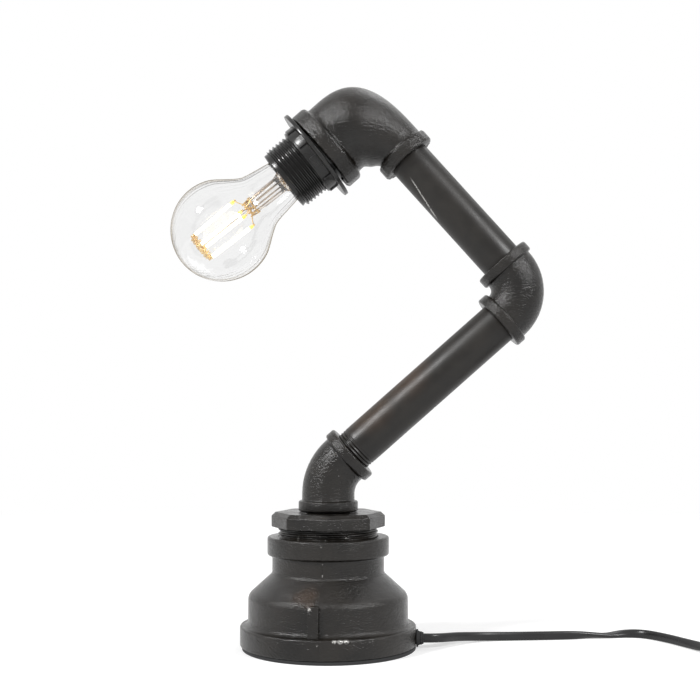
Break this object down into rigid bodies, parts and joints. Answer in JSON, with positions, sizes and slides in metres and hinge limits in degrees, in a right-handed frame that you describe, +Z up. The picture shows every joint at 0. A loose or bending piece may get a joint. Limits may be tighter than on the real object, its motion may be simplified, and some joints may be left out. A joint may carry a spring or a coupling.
{
  "type": "pipe fitting table lamp",
  "caption": "Table lamp made of black iron pipe fittings, with swivelling tubes, a threaded lampholder with a shade ring, a clear filament bulb and a corded switch and plug.",
  "frame": {"origin": "centre of the base's foot, on the table", "axes": "+Z up; the tubes and the head lie in the XZ plane, the middle elbow towards +X and the bulb towards -X"},
  "size_m": [0.4806, 0.1231, 0.3258],
  "materials": {
    "cast_iron_black": "black varnish over cast iron, worn at the edges",
    "pipe_steel": "dark satin varnish on steel tube",
    "pad_rubber": "matt black",
    "holder_plastic": "black thermoset plastic",
    "carrier_plastic": "pale insulating plastic",
    "contact_brass": "bare brass",
    "bulb_clear_glass": "clear",
    "bulb_stem_glass": "clear, drawn",
    "cap_aluminium": "rolled",
    "cap_insulator": "black glazed insulator",
    "filament_glow": "lit filament strip",
    "wire_nickel": "fine drawn wire",
    "cord_black": "black flexible sheath, slightly glossy",
    "grommet_rubber": "black",
    "switch_plastic": "black moulded plastic",
    "plug_plastic": "black moulded plastic",
    "pin_nickel": "nickel plated brass"
  },
  "bodies": {
    "base": {"base_reducer": "cast_iron_black", "base_pad": "pad_rubber", "bushing": "cast_iron_black", "close_nipple": "pipe_steel", "cord_grommet": "grommet_rubber", "cable_base": "cord_black", "cord_lead": "cord_black", "switch_lower": "switch_plastic", "switch_upper": "switch_plastic", "cord_link": "cord_black", "cord_coil": "cord_black", "cord_tail": "cord_black", "plug_body": "plug_plastic", "plug_pins": "pin_nickel"},
    "lower_arm": {"lower_elbow": "cast_iron_black", "lower_tube": "pipe_steel", "cable_lower": "cord_black"},
    "upper_arm": {"middle_elbow": "cast_iron_black", "upper_tube": "pipe_steel", "cable_upper": "cord_black"},
    "head": {"head_elbow": "cast_iron_black", "holder_skirt": "holder_plastic", "holder_cap": "holder_plastic", "contact_carrier": "carrier_plastic", "screw_shell": "contact_brass", "centre_contact": "contact_brass", "terminal_screws": "contact_brass", "cable_head": "cord_black"},
    "shade_clamp": {"shade_ring": "holder_plastic"},
    "bulb_lift": {"bulb_insulator": "cap_insulator", "bulb_tip": "cap_aluminium"},
    "bulb": {"bulb_glass": "bulb_clear_glass", "bulb_cap": "cap_aluminium", "bulb_stem": "bulb_stem_glass", "bulb_filaments": "filament_glow", "bulb_wires": "wire_nickel"},
    "rocker": {"switch_rocker": "switch_plastic"}
  },
  "joints": [
    {"name": "base_swivel", "type": "hinge", "parent": "base", "child": "lower_arm", "pos_m": [0, 0, 0.07794], "axis": [0, 0, 1], "range_deg": [-90, 90]},
    {"name": "middle_swivel", "type": "hinge", "parent": "lower_arm", "child": "upper_arm", "pos_m": [0.09827, 0, 0.18627], "axis": [0.7501, 0, 0.6613], "range_deg": [-60, 60]},
    {"name": "head_swivel", "type": "hinge", "parent": "upper_arm", "child": "head", "pos_m": [0.04752, 0, 0.28285], "axis": [-0.6613, 0, 0.7501], "range_deg": [-90, 90]},
    {"name": "shade_ring_travel", "type": "slide", "parent": "head", "child": "shade_clamp", "axis": [-0.7837, 0, -0.6211], "range_m": [0, 0.0155]},
    {"name": "bulb_travel", "type": "slide", "parent": "head", "child": "bulb_lift", "axis": [-0.7837, 0, -0.6211], "range_m": [0, 0.01815]},
    {"name": "bulb_turn", "type": "hinge", "parent": "bulb_lift", "child": "bulb", "pos_m": [-0.00651, 0, 0.28704], "axis": [-0.7837, 0, -0.6211], "range_deg": [0, 1800]},
    {"name": "rocker_tilt", "type": "hinge", "parent": "base", "child": "rocker", "pos_m": [0.24858, -0.0247, 0.012], "axis": [-0.5, -0.866, 0], "range_deg": [0, 18]}
  ],
  "couplings": [
    {"joint": "bulb_travel", "follows": "bulb_turn", "m_per_rad": 0.00057773}
  ]
}
